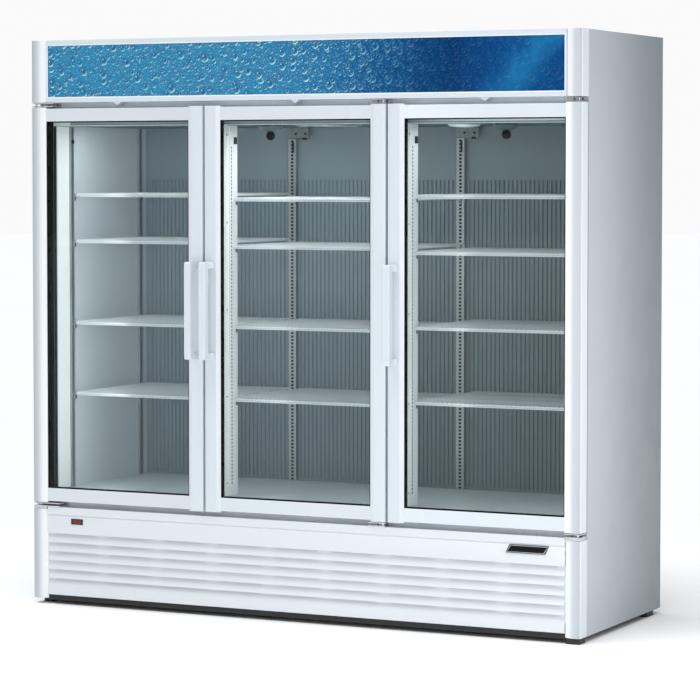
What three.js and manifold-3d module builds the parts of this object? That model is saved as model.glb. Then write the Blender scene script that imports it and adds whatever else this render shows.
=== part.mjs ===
// A three-door glass merchandiser: a tall upright refrigerator with hinged glass doors, a lit header
// above them and the condensing unit behind a louvred panel below them.
// Millimetres, +Z up. The origin is on the floor, at the middle of the width and of the whole depth.
// The doors face -Y, and +X is to the right of somebody who faces them.
import * as THREE from "three";
import { mergeVertices } from "three/addons/utils/BufferGeometryUtils.js";
import Module from "manifold-3d";

const wasm = await Module();
wasm.setup();

// Driving dimensions
const WIDTH = 2080;
const HEIGHT = 1991;
const BODY_DEPTH = 760; // from the doors' faces to the rear sheet
const HANDLE_REACH = 66; // how far the handles stand out from the doors' faces
const DOORS = 3;
const GAP = 0.3; // between pieces that touch
const SHEET = 1.2; // outer steel sheets
const LINER_SHEET = 0.8;

// Heights
const POST_FOOT = 19; // lower end of the side sheets and corner posts
const PAN_LOW = 14;
const PAN_TOP = 33;
const GRILLE_LOW = 33.5;
const GRILLE_TOP = 345;
const LOWER_POST_TOP = 337;
const STILE_LOW = 361.5;
const STILE_TOP = 1756;
const RAIL_LOW = 366;
const RAIL_TOP = 1752;
const GLASS_LOW = 412;
const GLASS_TOP = 1707;
const FLOOR = 400; // inside the cabinet
const CEILING = 1692;
const HEADER_LOW = 1773;
const SIGN_LOW = 1788;
const SIGN_TOP = 1976;
const FOAM_LOW = 352;

// Depths behind the doors' faces
const RAIL_FACE = 7;
const GLASS_FACE = 10;
const GLASS_UNIT = 16; // both panes and the space between them
const DOOR_BACK = 56;
const SEAT = 62; // the cabinet's front, where the gaskets seal
const LINER_FRONT = 104.3;
const LINER_BACK = 710;
const SHELF_FRONT = 180;
const SHELF_BACK = 700;

// Sections across the width
const POST_WIDTH = 56;
const STILE = 58;
const REBATE = 18; // the pocket behind the door's front lip, wider than the sight opening all round
const DOOR_GAP = 8;
const PITCH = WIDTH / DOORS;
const HALF = WIDTH / 2;
const INNER_HALF = 985; // half the inside width
const MULLION_WIDTH = 70;
const REAR_POST_WIDTH = 34;

// Hinges and handles
const PIN_INSET = 14; // of the pin's axis from the door's hinge edge and from its face
const PIN_RADIUS = 4.2;
const BORE_RADIUS = 4.7;
const PIN_DEPTH = 18;
const HANDLE_WIDTH = 26;
const HANDLE_INSET = 11.5; // from the door's free edge
const HANDLE_LOW = 888;
const HANDLE_TOP = 1223;

// Louvres
const LOUVRES = 6;
const LOUVRE_TOP = 252;
const LOUVRE_PITCH = 32;
const LOUVRE_STEP = 11;

// Shelves rest in slots that are 12.7 mm apart, counted up from the inside floor
const SLOT_PITCH = 12.7;
const SHELF_SLOTS = [
  [27, 47, 70, 83],
  [27, 47, 69, 82],
  [28, 48, 68, 83],
];

const FRONT = HANDLE_REACH - (BODY_DEPTH + HANDLE_REACH) / 2;
const BACK = FRONT + BODY_DEPTH;

const finish = (color, roughness, metalness) =>
  new THREE.MeshStandardMaterial({ color, roughness, metalness });
const whitePaint = () => finish(0xe4e8ec, 0.4, 0.1);
const whitePlastic = () => finish(0xf2f4f6, 0.25, 0);
const greyPaint = () => finish(0xb4bac2, 0.45, 0.1);
const greySteel = () => finish(0xa9b6c0, 0.4, 0.7);
const chrome = () => finish(0xc8ccd0, 0.15, 1);
const blackPlastic = () => finish(0x1b1e22, 0.6, 0);
const blackRubber = () => finish(0x3a4046, 0.85, 0);
const aluminium = () => finish(0xb9bdc1, 0.4, 0.9);

const group = new THREE.Group();

function place(name, geometry, material) {
  const mesh = new THREE.Mesh(geometry, material);
  mesh.name = name;
  group.add(mesh);
}

// Depth behind the doors' faces, as a Y
function deep(v) {
  return FRONT + v;
}

// A box between two corners, each range given as [low, high]
function block(x, y, z) {
  const geometry = new THREE.BoxGeometry(x[1] - x[0], y[1] - y[0], z[1] - z[0]);
  geometry.translate((x[0] + x[1]) / 2, (y[0] + y[1]) / 2, (z[0] + z[1]) / 2);
  return geometry;
}

function shapeOf(outline, holes = []) {
  const shape = new THREE.Shape(outline.map(([u, v]) => new THREE.Vector2(u, v)));
  for (const hole of holes) {
    shape.holes.push(new THREE.Path(hole.map(([u, v]) => new THREE.Vector2(u, v))));
  }
  return shape;
}

function rectangle(u, v) {
  return [[u[0], v[0]], [u[1], v[0]], [u[1], v[1]], [u[0], v[1]]];
}

function extrude(shape, length) {
  return new THREE.ExtrudeGeometry(shape, { depth: length, bevelEnabled: false, curveSegments: 16 });
}

// An outline in X and Y, drawn up along Z
function upright(outline, z, holes) {
  const geometry = extrude(shapeOf(outline, holes), z[1] - z[0]);
  geometry.translate(0, 0, z[0]);
  return geometry;
}

// An outline in Y and Z, drawn along X
function crosswise(outline, x) {
  const geometry = extrude(shapeOf(outline), x[1] - x[0]);
  const turn = new THREE.Matrix4().makeBasis(
    new THREE.Vector3(0, 1, 0),
    new THREE.Vector3(0, 0, 1),
    new THREE.Vector3(1, 0, 0),
  );
  geometry.applyMatrix4(turn);
  geometry.translate(x[0], 0, 0);
  return geometry;
}

// An outline in X and Z, drawn along Y
function inward(outline, y, holes) {
  const geometry = extrude(shapeOf(outline, holes), y[1] - y[0]);
  const turn = new THREE.Matrix4().makeBasis(
    new THREE.Vector3(1, 0, 0),
    new THREE.Vector3(0, 0, 1),
    new THREE.Vector3(0, -1, 0),
  );
  geometry.applyMatrix4(turn);
  geometry.translate(0, y[1], 0);
  return geometry;
}

function cylinderZ(radius, x, y, z, sides = 20) {
  const geometry = new THREE.CylinderGeometry(radius, radius, z[1] - z[0], sides);
  geometry.rotateX(Math.PI / 2);
  geometry.translate(x, y, (z[0] + z[1]) / 2);
  return geometry;
}

function cylinderY(radius, x, y, z, sides = 24) {
  const geometry = new THREE.CylinderGeometry(radius, radius, y[1] - y[0], sides);
  geometry.translate(x, (y[0] + y[1]) / 2, z);
  return geometry;
}

function cylinderX(radius, x, y, z, sides = 16) {
  const geometry = new THREE.CylinderGeometry(radius, radius, x[1] - x[0], sides);
  geometry.rotateZ(Math.PI / 2);
  geometry.translate((x[0] + x[1]) / 2, y, z);
  return geometry;
}

function toSolid(geometry) {
  const bare = new THREE.BufferGeometry();
  bare.setAttribute("position", geometry.getAttribute("position"));
  bare.setIndex(geometry.getIndex());
  const merged = mergeVertices(bare, 1e-3);
  return new wasm.Manifold(new wasm.Mesh({
    numProp: 3,
    vertProperties: new Float32Array(merged.getAttribute("position").array),
    triVerts: new Uint32Array(merged.getIndex().array),
  }));
}

function toGeometry(body) {
  const { vertProperties, triVerts } = body.getMesh();
  const geometry = new THREE.BufferGeometry();
  geometry.setAttribute("position", new THREE.BufferAttribute(vertProperties, 3));
  geometry.setIndex(new THREE.BufferAttribute(triVerts, 1));
  geometry.computeVertexNormals();
  return geometry;
}

function join(...geometries) {
  return toGeometry(geometries.map(toSolid).reduce((whole, next) => whole.add(next)));
}

function cut(geometry, ...tools) {
  return toGeometry(tools.map(toSolid).reduce((rest, tool) => rest.subtract(tool), toSolid(geometry)));
}

// Numbers from low to high, evenly spaced, with both ends
function spread(low, high, count) {
  return Array.from({ length: count }, (_, i) => low + ((high - low) * i) / (count - 1));
}

// The rounded corner profile that the posts and the outer door stiles share. u runs inward from the
// cabinet's side and v back from the doors' faces; side is -1 on the left and 1 on the right. Its inner
// bevel ends at a depth of bevelEnd.
function cornerOutline(side, width, bevelEnd, depth) {
  const crown = 4.5;
  const arcStart = 2;
  const arcEnd = 42;
  const middle = (arcStart + arcEnd) / 2;
  const reach = (arcEnd - arcStart) / 2;
  const face = spread(arcStart, arcEnd, 9).map((u) => [u, crown * ((u - middle) / reach) ** 2]);
  const points = [[0, depth], [0, crown + 2.5], ...face, [width, bevelEnd], [width, depth]];
  return points.map(([u, v]) => [side * (HALF - u), deep(v)]);
}

// A flat-faced stile with a small round on its free edge and a long chamfer towards the glass.
// edge is the X of its outer edge, and towards is 1 where the glass lies to its right.
function stileOutline(edge, towards) {
  const points = [[0, DOOR_BACK], [0, 3], [1, 1], [3, 0], [STILE - 14, 0], [STILE, 7], [STILE, DOOR_BACK]];
  return points.map(([u, v]) => [edge + towards * u, deep(v)]);
}

function sideSheets() {
  const lip = 18;
  for (const [name, side] of [["side_panel_left", -1], ["side_panel_right", 1]]) {
    const outline = [
      [0, SEAT], [lip, SEAT], [lip, SEAT + SHEET], [SHEET, SEAT + SHEET],
      [SHEET, BODY_DEPTH - SHEET], [lip, BODY_DEPTH - SHEET], [lip, BODY_DEPTH], [0, BODY_DEPTH],
    ].map(([u, v]) => [side * (HALF - u), deep(v)]);
    place(name, upright(outline, [POST_FOOT, HEIGHT]), greyPaint());
  }
}

// Roof and back in one bent sheet, with rows of vents low down and the mains cord's inlet
function roofAndBack() {
  const half = HALF - SHEET - GAP;
  const narrow = HALF - 18 - GAP;
  const roofZ = [HEIGHT - SHEET, HEIGHT];
  const roof = block([-half, half], [deep(SEAT + 1.5), BACK - 1.5], roofZ);
  const fold = block([-narrow, narrow], [BACK - 4, BACK], roofZ);
  const back = block([-narrow, narrow], [BACK - SHEET, BACK], [60, HEIGHT]);
  const vents = [];
  const ventLength = 360;
  for (const x of spread(-640, 640, 3)) {
    for (const z of spread(110, 290, 7)) {
      vents.push(block([x - ventLength / 2, x + ventLength / 2], [BACK - 4, BACK + 1], [z - 4, z + 4]));
    }
  }
  const inlet = cylinderY(10, 930, [BACK - 4, BACK + 1], 100);
  place("roof_back_panel", cut(join(roof, fold, back), ...vents, inlet), greyPaint());
}

// A shallow tray that carries the condensing unit; its front edge shows as a dark strip
function basePan() {
  const half = HALF - POST_WIDTH - 0.5;
  const wall = 3;
  const y = [deep(14), BACK - 4];
  const tray = block([-half, half], y, [PAN_LOW, PAN_TOP]);
  const inside = block(
    [-half + wall, half - wall], [y[0] + wall, y[1] - wall], [PAN_LOW + wall, PAN_TOP + 1],
  );
  place("base_pan", cut(tray, inside), blackPlastic());
}

// Low blocks under the corners; the front left one stands a little further in than the others
const FEET = [
  { name: "foot_front_left", x: [-1024, -988], depth: [45, 96] },
  { name: "foot_front_right", x: [987, 1038], depth: [5, 56] },
  { name: "foot_rear_left", x: [-1035, -988], depth: [640, 706] },
  { name: "foot_rear_right", x: [988, 1035], depth: [640, 706] },
];

function feet() {
  for (const { name, x, depth } of FEET) {
    const [yLow, yHigh] = depth.map(deep);
    const outline = [
      [x[0] + 3, yLow], [x[1] - 3, yLow], [x[1], yLow + 3], [x[1], yHigh - 3],
      [x[1] - 3, yHigh], [x[0] + 3, yHigh], [x[0], yHigh - 3], [x[0], yLow + 3],
    ];
    place(name, upright(outline, [0, POST_FOOT - GAP]), blackPlastic());
  }
}

function faceFrame() {
  const half = HALF - 18 - 0.5;
  const plate = rectangle([-half, half], [340, HEIGHT - SHEET - GAP]);
  const opening = rectangle([-INNER_HALF, INNER_HALF], [FLOOR, CEILING]);
  place("face_frame", inward(plate, [deep(SEAT), deep(SEAT + 1.5)], [opening]), greySteel());
}

// The box-shaped inside, open to the front and cut out above the evaporator's cover
const COVER = { half: 598, front: 142, back: 598 };

function liner() {
  const t = LINER_SHEET;
  const shell = block(
    [-INNER_HALF - t, INNER_HALF + t],
    [deep(LINER_FRONT), deep(LINER_BACK + t)],
    [FLOOR - t, CEILING + t],
  );
  const inside = block(
    [-INNER_HALF, INNER_HALF],
    [deep(LINER_FRONT - 1), deep(LINER_BACK)],
    [FLOOR, CEILING],
  );
  const intake = block(
    [-COVER.half, COVER.half],
    [deep(COVER.front), deep(COVER.back)],
    [CEILING - 1, CEILING + 2],
  );
  place("inner_liner", cut(shell, inside, intake), whitePaint());
}

// Foamed walls between the liner and the outer sheets, with a chamber above the ceiling for the evaporator
function insulation() {
  const clear = LINER_SHEET + 0.5;
  const walls = block([-HALF + 2, HALF - 2], [deep(SEAT + 2), BACK - 5], [FOAM_LOW, HEIGHT - 3]);
  const hollow = block(
    [-INNER_HALF - clear, INNER_HALF + clear],
    [deep(SEAT + 1), deep(LINER_BACK + clear)],
    [FLOOR - clear, CEILING + clear],
  );
  const chamber = block(
    [-COVER.half - 12, COVER.half + 12],
    [deep(COVER.front - 12), deep(COVER.back + 12)],
    [CEILING, 1925],
  );
  place("foam_insulation", cut(walls, hollow, chamber), finish(0xe6cf8f, 0.9, 0));
}

// Between the doors: a front post that the gaskets seal on, and a slotted post for the shelves behind it,
// joined at the top and bottom, with a vertical lamp between them
function mullions() {
  const z = [FLOOR + GAP, CEILING - GAP];
  const frontPost = [SEAT, SEAT + 48];
  const rearPost = [160, 215];
  const web = 36;
  const webHalf = 15;
  for (const [name, x] of [["left", -PITCH / 2], ["right", PITCH / 2]]) {
    const about = (half) => [x - half, x + half];
    const between = [deep(frontPost[1] - 1), deep(rearPost[0] + 1)];
    place(`mullion_${name}`, join(
      block(about(MULLION_WIDTH / 2), frontPost.map(deep), z),
      block(about(REAR_POST_WIDTH / 2), rearPost.map(deep), z),
      block(about(webHalf), between, [z[0], z[0] + web]),
      block(about(webHalf), between, [z[1] - web, z[1]]),
    ), whitePaint());
    lamp(`interior_lamp_${name}`, x, [frontPost[1] + GAP, 158], [z[0] + web + GAP, z[1] - web - GAP]);
  }
}

// A lamp's diffuser: flat against the post, round towards the inside
function lamp(name, x, depth, z) {
  const half = 23;
  const flat = depth[1] - half;
  const nose = spread(0, Math.PI, 11).map((a) => [x + half * Math.cos(a), deep(flat + half * Math.sin(a))]);
  const outline = [[x + half, deep(depth[0])], ...nose, [x - half, deep(depth[0])]];
  place(name, upright(outline, z), finish(0xf6f8fb, 0.3, 0));
}

function cornerPosts() {
  for (const [name, side] of [["left", -1], ["right", 1]]) {
    const outline = cornerOutline(side, POST_WIDTH, 12, SEAT - GAP);
    place(`header_post_${name}`, upright(outline, [HEADER_LOW, HEIGHT]), whitePlastic());
    place(`lower_post_${name}`, upright(outline, [POST_FOOT + GAP, LOWER_POST_TOP]), whitePlastic());
  }
}

// The lit header: a shallow tray with the printed panel in its front and a lamp tube inside
function header() {
  const half = HALF - POST_WIDTH - 0.5;
  const wall = 3.5;
  const lip = 8;
  const tray = block([-half, half], [deep(lip), deep(SEAT - GAP)], [HEADER_LOW, HEIGHT]);
  const inside = block([-half + wall, half - wall], [deep(lip - 1), deep(SEAT - 3)], [SIGN_LOW, SIGN_TOP]);
  place("header_housing", cut(tray, inside), whitePaint());
  const sign = block(
    [-half + wall + GAP, half - wall - GAP],
    [deep(lip + 2), deep(lip + 5)],
    [SIGN_LOW + GAP, SIGN_TOP - GAP],
  );
  place("sign_panel", sign, finish(0x2f7fb5, 0.25, 0));
  const lampY = deep(36);
  const lampZ = (SIGN_LOW + SIGN_TOP) / 2;
  const tube = [cylinderX(13, [-900, 900], lampY, lampZ)];
  for (const x of [[-912, -870], [870, 912]]) {
    tube.push(cylinderX(17, x, lampY, lampZ));
    tube.push(block(x, [lampY, deep(SEAT - 3 - GAP)], [lampZ - 10, lampZ + 10]));
  }
  place("sign_lamp", join(...tube), finish(0xfafafa, 0.3, 0));
}

// The lower panel: one bent sheet with slanted louvres that overlap downward, slots up under their lips,
// and a cut-out for the display
const DISPLAY = { x: -862, z: 297, width: 48, height: 20 };

function grille() {
  const face = 8;
  const sheet = 2;
  const lip = 1.6;
  const flange = 44;
  const half = HALF - POST_WIDTH - 0.5;
  const lips = Array.from({ length: LOUVRES + 1 }, (_, i) => LOUVRE_TOP - i * LOUVRE_PITCH);
  const groove = [[face, 319], [face + 3, 317], [face + 3, 315], [face, 313]];
  const back = face + sheet;
  const grooveBack = [[back, 312], [back + 3, 314], [back + 3, 318], [back, 320]];
  const steps = lips.slice(0, LOUVRES).flatMap((z) => [[face, z], [face + LOUVRE_STEP, z - 1]]);
  const slats = [...steps, [face, lips[LOUVRES]]];
  const slatBacks = slats.map(([v, z]) => [v + sheet, z + lip]).reverse();
  const outline = [
    [face, GRILLE_TOP], ...groove, ...slats, [face, GRILLE_LOW],
    [back, GRILLE_LOW], ...slatBacks, ...grooveBack,
    [back, GRILLE_TOP - sheet], [face + flange, GRILLE_TOP - sheet], [face + flange, GRILLE_TOP],
  ];
  const panel = crosswise(outline.map(([v, z]) => [deep(v), z]), [-half, half]);
  const slots = [];
  const slotLength = 170;
  for (const z of lips.slice(0, LOUVRES)) {
    for (const x of spread(-870, 870, 9)) {
      const y = [deep(face + 3.2), deep(face + LOUVRE_STEP - 1)];
      slots.push(block([x - slotLength / 2, x + slotLength / 2], y, [z - 3, z + 3]));
    }
  }
  const w = DISPLAY.width / 2 - 2;
  const h = DISPLAY.height / 2 - 2;
  const window = block(
    [DISPLAY.x - w, DISPLAY.x + w],
    [deep(face - 1), deep(face + 5)],
    [DISPLAY.z - h, DISPLAY.z + h],
  );
  place("front_grille", cut(panel, ...slots, window), whitePaint());
  displayModule(face, w - GAP, h - GAP);
}

function displayModule(face, w, h) {
  const about = (centre, half) => [centre - half, centre + half];
  place("display_module", join(
    block(about(DISPLAY.x, DISPLAY.width / 2), [deep(face - 2.3), deep(face - GAP)], about(DISPLAY.z, 10)),
    block(about(DISPLAY.x, w), [deep(face - 1), deep(face + 26)], about(DISPLAY.z, h)),
  ), blackPlastic());
}

// A steel bracket in the gap above or below a door: two plates and a web, with a pin into the door.
// edge is the X of the door's hinge edge, and towards is 1 where the door lies to its right.
function hinge(name, edge, towards, reach, above) {
  const z = above ? [STILE_TOP + 2, HEADER_LOW - 1.5] : [GRILLE_TOP + 0.5, STILE_LOW - 2];
  const ends = [edge + towards * 2, edge + towards * reach].sort((a, b) => a - b);
  const body = block(ends, [deep(5), deep(SEAT - GAP)], z);
  const pocket = block([ends[0] - 1, ends[1] + 1], [deep(4), deep(SEAT - 4)], [z[0] + 3.5, z[1] - 3.5]);
  const pinX = edge + towards * PIN_INSET;
  const pinY = deep(PIN_INSET);
  const pin = above
    ? cylinderZ(PIN_RADIUS, pinX, pinY, [STILE_TOP - PIN_DEPTH, z[1] - 1])
    : cylinderZ(PIN_RADIUS, pinX, pinY, [z[0] + 1, STILE_LOW + PIN_DEPTH]);
  const parts = [cut(body, pocket), pin];
  if (!above && Math.abs(edge) === HALF) {
    const foot = [edge + towards * 2, edge + towards * (POST_WIDTH - 2)].sort((a, b) => a - b);
    parts.push(block(foot, [deep(5), deep(SEAT - GAP)], [LOWER_POST_TOP + 0.5, z[0] + 1]));
  }
  place(name, join(...parts), chrome());
}

// The doors: number, left edge, right edge, and -1 where the hinges are on the left
const doorEdges = Array.from({ length: DOORS }, (_, i) => ({
  number: i + 1,
  left: -HALF + i * PITCH + (i > 0 ? DOOR_GAP / 2 : 0),
  right: -HALF + (i + 1) * PITCH - (i < DOORS - 1 ? DOOR_GAP / 2 : 0),
  hingeSide: i === 0 ? -1 : 1,
}));

function door({ number, left, right, hingeSide }) {
  const leftStile = number === 1 ? cornerOutline(-1, STILE, RAIL_FACE, DOOR_BACK) : stileOutline(left, 1);
  const rightStile = number === DOORS
    ? cornerOutline(1, STILE, RAIL_FACE, DOOR_BACK)
    : stileOutline(right, -1);
  const opening = [left + STILE, right - STILE];
  const railX = [opening[0] - 5, opening[1] + 5];
  const railY = [deep(RAIL_FACE), deep(DOOR_BACK)];
  const pinX = hingeSide < 0 ? left + PIN_INSET : right - PIN_INSET;
  const bore = (z) => cylinderZ(BORE_RADIUS, pinX, deep(PIN_INSET), z);
  const frame = join(
    upright(leftStile, [STILE_LOW, STILE_TOP]),
    upright(rightStile, [STILE_LOW, STILE_TOP]),
    block(railX, railY, [RAIL_LOW, GLASS_LOW]),
    block(railX, railY, [GLASS_TOP, RAIL_TOP]),
  );
  const pocket = block(
    [opening[0] - REBATE, opening[1] + REBATE],
    [deep(GLASS_FACE), deep(DOOR_BACK + 1)],
    [GLASS_LOW - REBATE, GLASS_TOP + REBATE],
  );
  place(`door_frame_${number}`, cut(
    frame,
    pocket,
    bore([STILE_TOP - PIN_DEPTH - 4, STILE_TOP + 1]),
    bore([STILE_LOW - 1, STILE_LOW + PIN_DEPTH + 4]),
  ), whitePlastic());
  glassUnit(number, opening);
  gasket(number, left, right);
  handle(number, hingeSide < 0 ? right - HANDLE_INSET : left + HANDLE_INSET + HANDLE_WIDTH);
}

// Two panes on a spacer frame, bonded behind the door's lip, with a breather hole through the spacer
function glassUnit(number, opening) {
  const cover = 10;
  const pane = 4;
  const spacer = cover + 4;
  const x = [opening[0] - cover, opening[1] + cover];
  const z = [GLASS_LOW - cover, GLASS_TOP + cover];
  const unitY = [deep(GLASS_FACE + GAP), deep(GLASS_FACE + GAP + GLASS_UNIT)];
  const airY = [unitY[0] + pane, unitY[1] - pane];
  const air = block([x[0] + spacer, x[1] - spacer], airY, [z[0] + spacer, z[1] - spacer]);
  const breather = cylinderZ(1.5, x[0] + 40, (unitY[0] + unitY[1]) / 2, [z[1] - spacer - 1, z[1] + 1], 8);
  place(`door_glass_${number}`, cut(block(x, unitY, z), air, breather), finish(0xbfd3d6, 0.05, 0));
}

function gasket(number, left, right) {
  const inset = 16;
  const strip = 16;
  const ring = (t) => rectangle([left + t, right - t], [RAIL_LOW + t - 8, RAIL_TOP - t + 8]);
  const y = [deep(DOOR_BACK + GAP), deep(SEAT - GAP)];
  place(`door_gasket_${number}`, inward(ring(inset), y, [ring(inset + strip)]), blackRubber());
}

// A bracket-shaped pull: an upright grip with a leg at each end. right is the X of its right side.
function handle(number, right) {
  const grip = 26;
  const leg = 23;
  const soft = 5;
  const out = -HANDLE_REACH;
  const outline = [
    [-GAP, HANDLE_LOW], [out + soft, HANDLE_LOW], [out, HANDLE_LOW + soft], [out, HANDLE_TOP - soft],
    [out + soft, HANDLE_TOP], [-GAP, HANDLE_TOP], [-GAP, HANDLE_TOP - leg],
    [out + grip + soft, HANDLE_TOP - leg], [out + grip, HANDLE_TOP - leg - soft],
    [out + grip, HANDLE_LOW + leg + soft], [out + grip + soft, HANDLE_LOW + leg], [-GAP, HANDLE_LOW + leg],
  ].map(([v, z]) => [deep(v), z]);
  place(`door_handle_${number}`, crosswise(outline, [right - HANDLE_WIDTH, right]), whitePlastic());
}

// Wire shelves, drawn here as slotted grids with a taller front rail
function shelves() {
  const wallGap = 13;
  const inner = PITCH / 2 + REAR_POST_WIDTH / 2 + 2;
  const centre = PITCH / 2 - REAR_POST_WIDTH / 2 - 2;
  const spans = [[-INNER_HALF + wallGap, -inner], [-centre, centre], [inner, INNER_HALF - wallGap]];
  const bar = 8;
  const slots = 11;
  const thickness = 6;
  const railHeight = 14;
  const y = [deep(SHELF_FRONT), deep(SHELF_BACK)];
  spans.forEach((span, section) => {
    const pitch = (span[1] - span[0] - bar) / slots;
    SHELF_SLOTS[section].forEach((slot, level) => {
      const top = FLOOR + slot * SLOT_PITCH;
      const plate = block(span, y, [top - thickness, top]);
      const rail = block(span, [y[0], y[0] + bar], [top - railHeight, top]);
      const openings = [];
      for (let i = 0; i < slots; i += 1) {
        const low = span[0] + bar + i * pitch;
        openings.push(block(
          [low, low + pitch - bar], [y[0] + bar, y[1] - bar], [top - thickness - 1, top + 1],
        ));
      }
      place(`shelf_${section + 1}_${level + 1}`, cut(join(plate, rail), ...openings), whitePaint());
    });
  });
}

// Upright fins on a common back plate, as an outline in X and Y
function finOutline(x, y, count) {
  const fin = (x[1] - x[0]) / (2 * count - 1);
  const root = y[1] - 4;
  const points = [];
  for (let i = 0; i < count; i += 1) {
    const low = x[0] + 2 * i * fin;
    points.push([low, y[0]], [low + fin, y[0]]);
    if (i < count - 1) {
      points.push([low + fin, root], [low + 2 * fin, root]);
    }
  }
  return [...points, [x[1], y[1]], [x[0], y[1]]];
}

// A fan rotor about its own +Z, hub and pitched blades
function rotor(radius, hubRadius, depth, blades) {
  const pieces = [new THREE.CylinderGeometry(hubRadius, hubRadius, depth, 20).rotateX(Math.PI / 2)];
  for (let i = 0; i < blades; i += 1) {
    const length = radius - hubRadius * 0.6;
    const blade = new THREE.BoxGeometry(length, radius * 0.5, 2.5);
    blade.rotateX(Math.PI / 7);
    blade.translate(hubRadius * 0.6 + length / 2, 0, 0);
    blade.rotateZ((i * 2 * Math.PI) / blades);
    pieces.push(blade);
  }
  return join(...pieces);
}

// The condensing unit behind the lower panel: a coil with a fan housing and motor, the fan, and a compressor
const CONDENSER = { x: -520, z: 175 };

function condensingUnit() {
  const half = 200;
  const x = [CONDENSER.x - half, CONDENSER.x + half];
  const z = [PAN_LOW + 3 + GAP, 315];
  const coil = upright(finOutline(x, [deep(80), deep(140)], 24), z);
  const hood = block(x, [deep(139), deep(182)], z);
  const hoodInside = block([x[0] + 2, x[1] - 2], [deep(140), deep(180)], [z[0] + 2, z[1] - 2]);
  const mouth = cylinderY(112, CONDENSER.x, [deep(179), deep(184)], CONDENSER.z, 32);
  const motor = cylinderY(36, CONDENSER.x, [deep(139), deep(188)], CONDENSER.z);
  place("condenser_coil", join(coil, cut(hood, hoodInside, mouth), motor), aluminium());

  const fan = rotor(104, 26, 22, 5);
  fan.rotateX(Math.PI / 2);
  fan.translate(CONDENSER.x, deep(202), CONDENSER.z);
  place("condenser_fan", fan, blackPlastic());

  const low = PAN_LOW + 3 + GAP;
  const can = [
    [0, 0], [70, 0], [70, 8], [84, 20], [88, 60], [88, 120], [80, 150], [60, 172], [30, 184], [0, 187],
  ].map(([r, h]) => new THREE.Vector2(r, h));
  const shell = new THREE.LatheGeometry(can, 28).rotateX(Math.PI / 2);
  shell.translate(380, deep(430), low);
  const base = block([280, 480], [deep(350), deep(510)], [low, low + 6]);
  place("compressor", join(shell, base), finish(0x17181a, 0.5, 0.3));
}

// The evaporator in the chamber above the ceiling, with its fan's motor, the fan and the slotted cover
const EVAPORATOR_FAN = { v: 260, z: 1735 };

function evaporator() {
  const coil = upright(finOutline([-480, 480], [deep(390), deep(520)], 30), [1715, 1924.7]);
  const motor = cylinderZ(32, 0, deep(EVAPORATOR_FAN.v), [EVAPORATOR_FAN.z + 15, 1800]);
  const arm = block([-14, 14], [deep(EVAPORATOR_FAN.v), deep(395)], [1780, 1788]);
  place("evaporator_coil", join(coil, motor, arm), aluminium());

  const fan = rotor(95, 24, 24, 5);
  fan.translate(0, deep(EVAPORATOR_FAN.v), EVAPORATOR_FAN.z);
  place("evaporator_fan", fan, blackPlastic());

  const half = COVER.half - 0.5;
  const z = [CEILING, CEILING + 1.2];
  const panel = block([-half, half], [deep(COVER.front + 0.5), deep(COVER.back - 0.5)], z);
  const tools = [cylinderZ(100, 0, deep(EVAPORATOR_FAN.v), [z[0] - 1, z[1] + 1], 32)];
  for (const x of spread(-420, 420, 4)) {
    for (const v of spread(430, 560, 6)) {
      tools.push(block([x - 100, x + 100], [deep(v - 4), deep(v + 4)], [z[0] - 1, z[1] + 1]));
    }
  }
  place("evaporator_cover", cut(panel, ...tools), whitePaint());
}

sideSheets();
roofAndBack();
basePan();
feet();
faceFrame();
insulation();
liner();
mullions();
cornerPosts();
header();
grille();
for (const edges of doorEdges) {
  door(edges);
}
hinge("hinge_top_left", -HALF, 1, 87, true);
hinge("hinge_bottom_left", -HALF, 1, 109, false);
hinge("hinge_top_centre", doorEdges[1].right, -1, 66, true);
hinge("hinge_bottom_centre", doorEdges[1].right, -1, 66, false);
hinge("hinge_top_right", HALF, -1, 60, true);
hinge("hinge_bottom_right", HALF, -1, 60, false);
shelves();
condensingUnit();
evaporator();

export default group;
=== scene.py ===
import math
import bmesh
import bpy
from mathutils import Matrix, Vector


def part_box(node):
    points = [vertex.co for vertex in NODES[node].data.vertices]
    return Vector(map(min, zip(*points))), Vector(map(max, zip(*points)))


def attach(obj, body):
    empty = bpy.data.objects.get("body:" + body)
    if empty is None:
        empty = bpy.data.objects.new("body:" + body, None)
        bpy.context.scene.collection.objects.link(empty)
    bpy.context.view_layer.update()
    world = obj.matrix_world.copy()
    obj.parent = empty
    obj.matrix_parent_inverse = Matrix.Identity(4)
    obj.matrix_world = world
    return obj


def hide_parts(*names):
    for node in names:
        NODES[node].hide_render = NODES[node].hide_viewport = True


# A white display refrigerator with three glass doors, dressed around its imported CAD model.
# Metres, +Z up; the doors face -Y.
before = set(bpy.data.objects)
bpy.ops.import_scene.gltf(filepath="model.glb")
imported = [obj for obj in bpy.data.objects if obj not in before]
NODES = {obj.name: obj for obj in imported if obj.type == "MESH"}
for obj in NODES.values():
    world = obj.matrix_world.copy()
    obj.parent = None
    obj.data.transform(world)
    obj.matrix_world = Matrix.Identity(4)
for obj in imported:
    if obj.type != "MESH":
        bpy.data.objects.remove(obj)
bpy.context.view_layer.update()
CABINET = "cabinet"
SCENE = bpy.context.scene

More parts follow.
